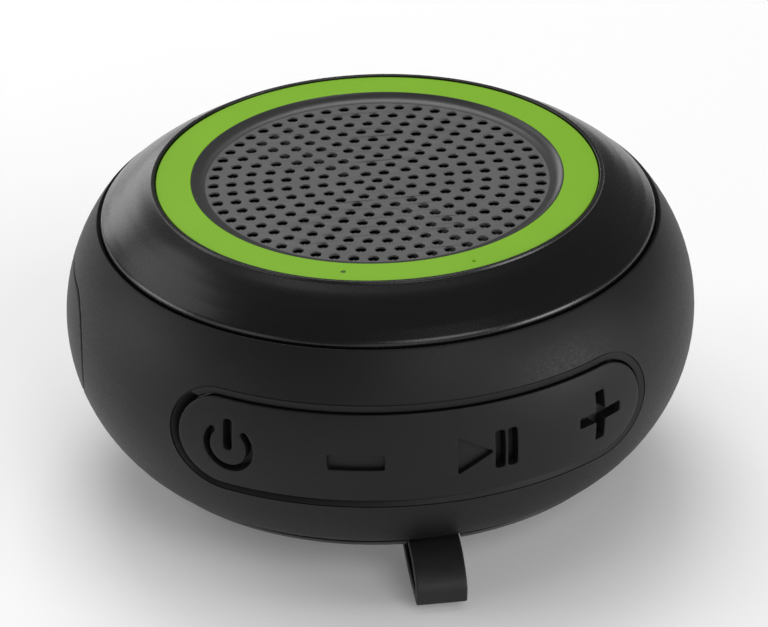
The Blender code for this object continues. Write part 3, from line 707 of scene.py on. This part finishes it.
def plus_outlines():
    a, b = 3.75, 0.8
    corners = [(-b, -a), (b, -a), (b, -b), (a, -b), (a, b), (b, b), (b, a), (-b, a), (-b, b),
               (-a, b), (-a, -b), (-b, -b)]
    return ((DEEP, rounded([(x, y, 0.25) for x, y in corners])),)


def shifted(outline, dx, dy):
    return [(x + dx, y + dy) for x, y in outline]


def make_keypad():
    strip = plate("keypad_strip", [stadium(0.0, KEYPAD_Z, KEYPAD_HALF_W, KEYPAD_HALF_H)],
                  -2.2, 0.0)
    bevel_where(strip, lambda x, y, z: abs(z) < 0.01, 0.2, 3)
    icons = {"power": power_outlines(), "minus": minus_outlines(), "play": play_outlines(),
             "plus": plus_outlines()}
    lift = ICON_Z - KEYPAD_Z
    for i, (key, outlines) in enumerate(icons.items()):
        azimuth = KEY_STEP_AZ * (i - 1.5)
        x = math.radians(azimuth) * BODY_R
        hole = plate("hole", [ellipse(x, KEYPAD_Z, KEY_HALF_W + KEY_SEAM, KEY_HALF_H + KEY_SEAM)],
                     -2.5, 2.5)
        edit(hole)
        for end, way in ((-2.5, 1.0), (2.5, -1.0)):
            select_points(hole, lambda px, py, pz, end=end: abs(pz - end) < 0.01)
            bpy.ops.transform.resize(
                value=(1.0 + way * KEY_DRAFT / KEY_HALF_W, 1.0 + way * KEY_DRAFT / KEY_HALF_H, 1.0),
                center_override=(mm(x), mm(KEYPAD_Z), 0.0))
        leave()
        combine(strip, hole)
        cap = plate("key_%s_cap" % key, [ellipse(x, KEYPAD_Z, KEY_HALF_W, KEY_HALF_H)], -2.0, 0.0)
        for depth, shape in outlines:
            sign = plate("sign", [shifted(shape, x, KEYPAD_Z + lift)], -depth, 3.0)
            combine(cap, sign)

        def sign_edge(px, py, pz, x=x):
            return abs(pz) < 0.01 and ((px - x) / KEY_HALF_W) ** 2 + (
                (py - KEYPAD_Z) / KEY_HALF_H) ** 2 < 0.97

        bevel_where(cap, sign_edge, ICON_EDGE, 2)
        score(cap, steps_between(x - KEY_HALF_W, x + KEY_HALF_W, 0.8)[1:-1], 0)
        score(cap, steps_between(KEYPAD_Z - KEY_HALF_H, KEYPAD_Z + KEY_HALF_H, 0.8)[1:-1], 1)
        wrap(cap)
        clean(cap)
        soften(cap, 40.0)
        finish(cap, keypad_silicone, key + "_key", "key_" + key)
    score(strip, steps_between(-KEYPAD_HALF_W, KEYPAD_HALF_W, 0.8)[1:-1], 0)
    score(strip, steps_between(KEYPAD_Z - KEYPAD_HALF_H, KEYPAD_Z + KEYPAD_HALF_H, 0.8)[1:-1], 1)
    wrap(strip)
    clean(strip)
    soften(strip, 40.0)
    finish(strip, keypad_silicone, "case", "keypad_frame")


# Port cover

def make_port_cover():
    cover = plate("port_cover_skin", [stadium(0.0, KEYPAD_Z, COVER_HALF_W, COVER_HALF_H)],
                  -2.0, 0.0)
    bevel_where(cover, lambda x, y, z: abs(z) < 0.01, 0.22, 3)
    bevel_where(cover, lambda x, y, z: abs(z + 2.0) < 0.01, 0.3, 2)
    score(cover, steps_between(-COVER_HALF_W, COVER_HALF_W, 0.9)[1:-1], 0)
    score(cover, steps_between(KEYPAD_Z - COVER_HALF_H, KEYPAD_Z + COVER_HALF_H, 0.9)[1:-1], 1)
    wrap(cover, PORT_AZ)
    clean(cover)
    soften(cover, 40.0)
    finish(cover, keypad_silicone, "port_door", "port_cover")


# Bezel, ring and grille

def make_bezel():
    outline = rounded([
        (BEZEL_R, 38.4, 0.0), (BEZEL_R, 40.35, 1.1),
        (37.85, 41.75, 6.0), (35.9, 43.25, 12.0), (33.9, 44.55, 12.0),
        (32.05, 45.42, 0.12), (31.98, 45.75, 0.12), (31.45, 45.75, 0.12), (31.33, 44.6, 0.0),
        (26.4, 44.6, 0.0), (26.4, 44.25, 0.0), (25.5, 44.25, 0.0), (25.5, 41.1, 0.0),
        (27.4, 41.1, 0.0), (27.4, 39.2, 0.0),
        (31.2, 39.2, 0.0), (31.2, 43.2, 0.0), (34.8, 41.2, 0.0), (35.0, 38.4, 0.0),
    ])
    bezel = turned("front_bezel_shell", outline)
    soften(bezel)
    finish(bezel, bezel_abs, "case", "front_bezel")


def make_ring():
    outline = rounded([
        (RING_OUT_R, RING_TOP_Z - 0.7, 0.0), (RING_OUT_R, RING_TOP_Z, 0.12),
        (RING_IN_R, RING_TOP_Z, 0.12), (RING_IN_R, RING_TOP_Z - 0.7, 0.0),
    ])
    ring = turned("accent_ring_face", outline)
    for azimuth, r in ((-17.9, 28.8), (17.9, 29.2)):
        x, y, _ = polar(r, BEZEL_TURN + azimuth, 0.0)
        dimple = add_primitive("uv_sphere", "dimple", segments=24, ring_count=12, radius=mm(0.5),
                               location=(mm(x), mm(y), mm(RING_TOP_Z + 0.26)))
        settle(dimple)
        combine(ring, dimple)
        pin = add_primitive("cylinder", "pin", vertices=16, radius=mm(0.24), depth=mm(4.0),
                            location=(mm(x), mm(y), mm(RING_TOP_Z)))
        settle(pin)
        combine(ring, pin)
    clean(ring)
    soften(ring)
    finish(ring, ring_polycarbonate, "case", "accent_ring")


def hole_places():
    """Rings of holes, six more in each ring than in the one inside it."""
    places = []
    for ring in range(HOLE_RINGS + 1):
        for i in range(max(1, 6 * ring)):
            azimuth = 30.0 + BEZEL_TURN + 60.0 * i / max(1, ring)
            places.append(polar(HOLE_PITCH * ring, azimuth, 0.0)[:2])
    return places


def make_grille():
    rim = [(GRILLE_R * math.cos(math.tau * k / 144), GRILLE_R * math.sin(math.tau * k / 144))
           for k in range(144)]
    outlines = [rim]
    for x, y in hole_places():
        outlines.append([(x + HOLE_R * math.cos(-math.tau * k / HOLE_SIDES),
                          y + HOLE_R * math.sin(-math.tau * k / HOLE_SIDES))
                         for k in range(HOLE_SIDES)])
    grille = plate("grille_plate_face", outlines, GRILLE_TOP_Z - GRILLE_T, GRILLE_TOP_Z, False)
    top = GRILLE_TOP_Z
    bevel_where(grille, lambda x, y, z: abs(z - top) < 0.01 and math.hypot(x, y) < 24.6, 0.09, 2)
    soften(grille, 21.0)
    finish(grille, grille_paint, "case", "grille_plate")


def make_grille_rim():
    """The pressed border of the grille, which curves up to the ring."""
    outline = [(24.35, 44.64), (24.9, 44.68), (25.35, 44.82), (25.75, 45.03), (26.05, 45.28),
               (26.22, 45.52), (26.33, 45.52), (26.33, 44.62), (25.9, 44.3), (24.7, 44.3),
               (24.35, 44.5)]
    rim = turned("grille_rim", outline)
    soften(rim, 30.0)
    # Its darker grey is painted shade for the wall of the recess between grille and ring
    finish(rim, rim_painted_shade, "case")


def make_splash_film():
    """A taut film with one low dome pressed up into each hole."""
    film = turned("splash_film", [(0.3, 43.5), (25.0, 43.5), (25.0, 43.2), (0.3, 43.2)], 96)
    dome = add_primitive("uv_sphere", "dome", segments=12, ring_count=8, radius=mm(0.74),
                         location=(0.0, 0.0, mm(43.55)))
    settle(dome)
    edit(dome)
    bpy.ops.mesh.select_all(action="SELECT")
    bpy.ops.mesh.bisect(plane_co=(0.0, 0.0, mm(43.45)), plane_no=(0.0, 0.0, 1.0),
                        clear_inner=True, use_fill=True)
    leave()
    deselect_all()
    film.select_set(True)
    for x, y in hole_places():
        copy = dome.copy()
        copy.data = dome.data.copy()
        copy.location = (mm(x), mm(y), 0.0)
        bpy.context.scene.collection.objects.link(copy)
        copy.select_set(True)
    bpy.data.objects.remove(dome, do_unlink=True)
    bpy.context.view_layer.objects.active = film
    bpy.ops.object.join()
    clean(film)
    soften(film, 50.0)
    finish(film, film_polyester, "case", "splash_membrane")


# Underside

def make_rear_cover():
    outline = rounded([
        (0.2, 12.0, 0.0), (7.5, 12.0, 0.0), (7.5, 8.5, 0.0), (35.2, 8.5, 0.0), (35.2, 7.25, 0.0),
        (36.5, 7.25, 0.12), (36.45, 6.75, 0.3), (35.4, 6.5, 0.35), (3.8, 6.5, 0.2),
        (3.8, 8.4, 0.0), (4.8, 8.4, 0.0), (4.8, 11.0, 0.0), (0.2, 11.0, 0.0),
    ])
    cover = turned("rear_cover_shell", outline, 160)
    for side in (-1, 1):
        x = STRAP_X + side * (STRAP_HALF_W + 1.1)
        lug = add_primitive("cube", "lug", size=1.0, location=(mm(x), mm(PIN_Y), mm(5.7)),
                            scale=(mm(1.6), mm(3.6), mm(3.4)))
        settle(lug)
        bevel_where(lug, lambda px, py, pz: pz < 4.1, 0.5, 4)
        combine(cover, lug, "UNION")
    way = add_primitive("cube", "way", size=1.0, location=(mm(STRAP_X), mm(-33.1), mm(5.8)),
                        scale=(mm(2 * STRAP_HALF_W + 0.6), mm(14.6), mm(4.0)))
    settle(way)
    combine(cover, way)
    for i in range(4):
        x, y, _ = polar(SCREW_AT_R, 45.0 + 90.0 * i, 0.0)
        well = add_primitive("cylinder", "well", vertices=40, radius=mm(2.4), depth=mm(2.7),
                             location=(mm(x), mm(y), mm(6.35)))
        settle(well)
        combine(cover, well)
    clean(cover)
    soften(cover)
    finish(cover, rear_abs, "case", "rear_cover")


# Points of the strap's middle line that stay sharp, at the fold
STRAP_FOLD = (11, 12)


def strap_middle():
    """The loop's middle line in the (y, z) plane: round the pin, out, folded, and back."""
    turn = PIN_R + 0.3 + STRAP_T / 2
    knots = []
    for degrees in (-90.0, -50.0, -15.0, 15.0, 50.0, 90.0):
        a = math.radians(degrees)
        knots.append((PIN_Y + turn * math.cos(a), PIN_Z + turn * math.sin(a)))
    knots += [(-33.0, 6.7), (-36.0, 6.65), (-39.0, 6.3), (-41.2, 5.4), (-42.7, 4.3),
              (-43.3, 3.3), (-43.15, 1.75), (-41.0, 1.75), (-37.0, 1.75), (-33.5, 2.1)]
    path = []
    count = len(knots)
    for i in range(count):
        p0, p1, p2, p3 = (Vector(knots[j % count]) for j in range(i - 1, i + 3))
        if i in STRAP_FOLD:
            path.append(p1)
            continue
        for k in range(6):
            t = k / 6.0
            path.append(0.5 * (2 * p1 + (p2 - p0) * t + (2 * p0 - 5 * p1 + 4 * p2 - p3) * t * t
                               + (3 * p1 - p0 - 3 * p2 + p3) * t ** 3))
    return path


def strap_side(path, offset):
    """A closed line beside the path, to its outer side for a positive offset."""
    side = []
    for i, here in enumerate(path):
        along = (path[(i + 1) % len(path)] - path[i - 1]).normalized()
        side.append((here.x + along.y * offset, here.y - along.x * offset))
    return side


def make_strap():
    path = strap_middle()
    strap = plate("strap_band", [strap_side(path, STRAP_T / 2), strap_side(path, -STRAP_T / 2)],
                  -STRAP_HALF_W, STRAP_HALF_W)
    bevel_where(strap, lambda x, y, z: abs(abs(z) - STRAP_HALF_W) < 0.01, 0.3, 3)
    strap.matrix_world = Matrix(((0.0, 0.0, 1.0, mm(STRAP_X)), (1.0, 0.0, 0.0, 0.0),
                                 (0.0, 1.0, 0.0, 0.0), (0.0, 0.0, 0.0, 1.0)))
    settle(strap)
    clean(strap)
    soften(strap, 32.0)
    finish(strap, strap_silicone, "strap", "strap_loop")


def make_suction_cup():
    outline = rounded([
        (0.15, 10.6, 0.0), (3.4, 10.6, 0.4), (4.5, 9.9, 0.3), (4.5, 9.1, 0.3), (3.5, 8.7, 0.3),
        (3.5, 6.2, 0.8), (9.0, 6.0, 3.0), (13.5, 5.1, 6.0), (17.5, 3.2, 6.0), (20.3, 0.9, 0.8),
        (21.0, 0.25, 0.1), (20.8, 0.0, 0.1), (18.6, 0.0, 0.3), (15.5, 1.5, 4.0),
        (11.0, 2.9, 4.0), (5.5, 3.6, 3.0), (0.15, 3.8, 0.0),
    ])
    cup = turned("suction_cup_skin", outline, 144)
    soften(cup)
    finish(cup, cup_vinyl, "cup", "suction_cup")


def make_rear_screws():
    """Pan heads with a cross recess, down in their wells."""
    for i in range(4):
        x, y, _ = polar(SCREW_AT_R, 45.0 + 90.0 * i, 0.0)
        screw = add_primitive("cylinder", "rear_screw_%d_head" % (i + 1), vertices=32,
                              radius=mm(2.0), depth=mm(0.95), location=(mm(x), mm(y), mm(7.08)))
        settle(screw)
        bevel_where(screw, lambda px, py, pz: pz < 6.7, 0.45, 4)
        shank = add_primitive("cylinder", "shank", vertices=16, radius=mm(1.05), depth=mm(7.2),
                              location=(mm(x), mm(y), mm(11.1)))
        settle(shank)
        combine(screw, shank, "UNION")
        for turn in (20.0 * i, 20.0 * i + 90.0):
            slot = add_primitive("cube", "slot", size=1.0, location=(mm(x), mm(y), mm(6.85)),
                                 rotation=(0.0, 0.0, math.radians(turn)),
                                 scale=(mm(2.3), mm(0.45), mm(0.9)))
            settle(slot)
            combine(screw, slot)
        clean(screw)
        soften(screw)
        finish(screw, bright_steel, "case", "rear_screw_%d" % (i + 1))


def make_charging_socket():
    """An oval socket on the left side: rolled steel shell, tongue, and two rows of contacts."""
    low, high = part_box("usb_socket")
    depth = (high[0] - low[0]) * 1000.0
    front = low[0] * 1000.0
    z = (low[2] + high[2]) * 500.0
    half_w = (high[1] - low[1]) * 500.0
    half_h = (high[2] - low[2]) * 500.0
    stand = Matrix(((0.0, 0.0, 1.0, mm(front)), (1.0, 0.0, 0.0, 0.0), (0.0, 1.0, 0.0, mm(z)),
                    (0.0, 0.0, 0.0, 1.0)))
    shell = plate("socket_shell", [stadium(0.0, 0.0, half_w, half_h, 16)], 0.0, depth)
    mouth = plate("mouth", [stadium(0.0, 0.0, half_w - 0.35, half_h - 0.35, 16)],
                  -1.0, depth - 1.2)
    combine(shell, mouth)
    bevel_where(shell, lambda px, py, pz: abs(pz) < 0.01, 0.12, 2)
    shell.matrix_world = stand
    settle(shell)
    clean(shell)
    soften(shell)
    finish(shell, bright_steel, "case", "usb_socket")
    tongue = add_primitive("cube", "socket_tongue", size=1.0,
                           location=(mm(front + depth / 2.0 + 0.2), 0.0, mm(z)),
                           scale=(mm(depth - 1.4), mm(6.2), mm(0.7)))
    settle(tongue)
    bevel_where(tongue, lambda px, py, pz: px < front + 1.2, 0.15, 2)
    clean(tongue)
    soften(tongue)
    finish(tongue, black_nylon, "case")
    contacts = None
    for side in (-1, 1):
        for i in range(8):
            at = (mm(front + 3.2), mm(-2.45 + 0.7 * i), mm(z + side * 0.36))
            strip = add_primitive("cube", "socket_contacts", size=1.0, location=at,
                                  scale=(mm(4.2), mm(0.3), mm(0.1)))
            settle(strip)
            bevel_where(strip, lambda px, py, pz: px < front + 1.3, 0.04, 2)
            if contacts is None:
                contacts = strip
                continue
            pick(contacts)
            strip.select_set(True)
            bpy.ops.object.join()
    contacts.name = "socket_contacts"
    soften(contacts)
    finish(contacts, gold_contacts, "case")


def make_cover_plug():
    """The low oval rib on the inside of the port cover, which seals round the socket."""
    plug = plate("port_cover_plug", [stadium(0.0, KEYPAD_Z, 6.2, 3.4),
                                     stadium(0.0, KEYPAD_Z, 5.3, 2.5)], -2.75, -1.9)
    bevel_where(plug, lambda x, y, z: abs(z + 2.75) < 0.01, 0.25, 3)
    score(plug, steps_between(-6.2, 6.2, 0.9)[1:-1], 0)
    wrap(plug, PORT_AZ)
    clean(plug)
    soften(plug, 40.0)
    finish(plug, keypad_silicone, "port_door")


make_sleeve()
make_keypad()
make_port_cover()
make_bezel()
make_ring()
make_grille()
make_grille_rim()
make_splash_film()
make_rear_cover()
make_strap()
make_suction_cup()
make_rear_screws()
make_charging_socket()
make_cover_plug()


# Solids that stay get the finish of what they are made of

KEPT = {
    "inner_housing": bezel_abs,
    "grille_retainer": bezel_abs,
    "strap_pin": bright_steel,
    "bezel_o_ring": seal_silicone,
    "rear_o_ring": seal_silicone,
    "driver_gasket": cell_foam,
    "driver_basket": basket_coat,
    "driver_surround": butyl,
    "driver_cone": paper_pulp,
    "dust_cap": paper_pulp,
    "voice_coil": wound_copper,
    "driver_spider": spider_cloth,
    "driver_top_plate": bright_steel,
    "driver_yoke": bright_steel,
    "driver_magnet": ferrite,
    "driver_screw_1": bright_steel,
    "driver_screw_2": bright_steel,
    "driver_screw_3": bright_steel,
    "driver_screw_4": bright_steel,
    "main_board": board_green,
    "key_board": board_green,
    "port_board": board_green,
    "indicator_board": board_green,
    "bluetooth_module": nickel_can,
    "microphone": nickel_can,
    "amplifier_chip": epoxy_black,
    "capacitor": nickel_can,
    "battery": shrink_film,
    "battery_pad_left": cell_foam,
    "battery_pad_right": cell_foam,
    "status_led": white_acetal,
    # the pipe's dim green tint is painted shade for the ring's pinholes
    "light_pipe": pipe_with_painted_shade,
    "switch_power": black_nylon,
    "switch_minus": black_nylon,
    "switch_play": black_nylon,
    "switch_plus": black_nylon,
    "plunger_power": white_acetal,
    "plunger_minus": white_acetal,
    "plunger_play": white_acetal,
    "plunger_plus": white_acetal,
}
for node_name, node_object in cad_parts.items():
    if node_name in KEPT:
        node_object.data.materials.clear()
        node_object.data.materials.append(KEPT[node_name])
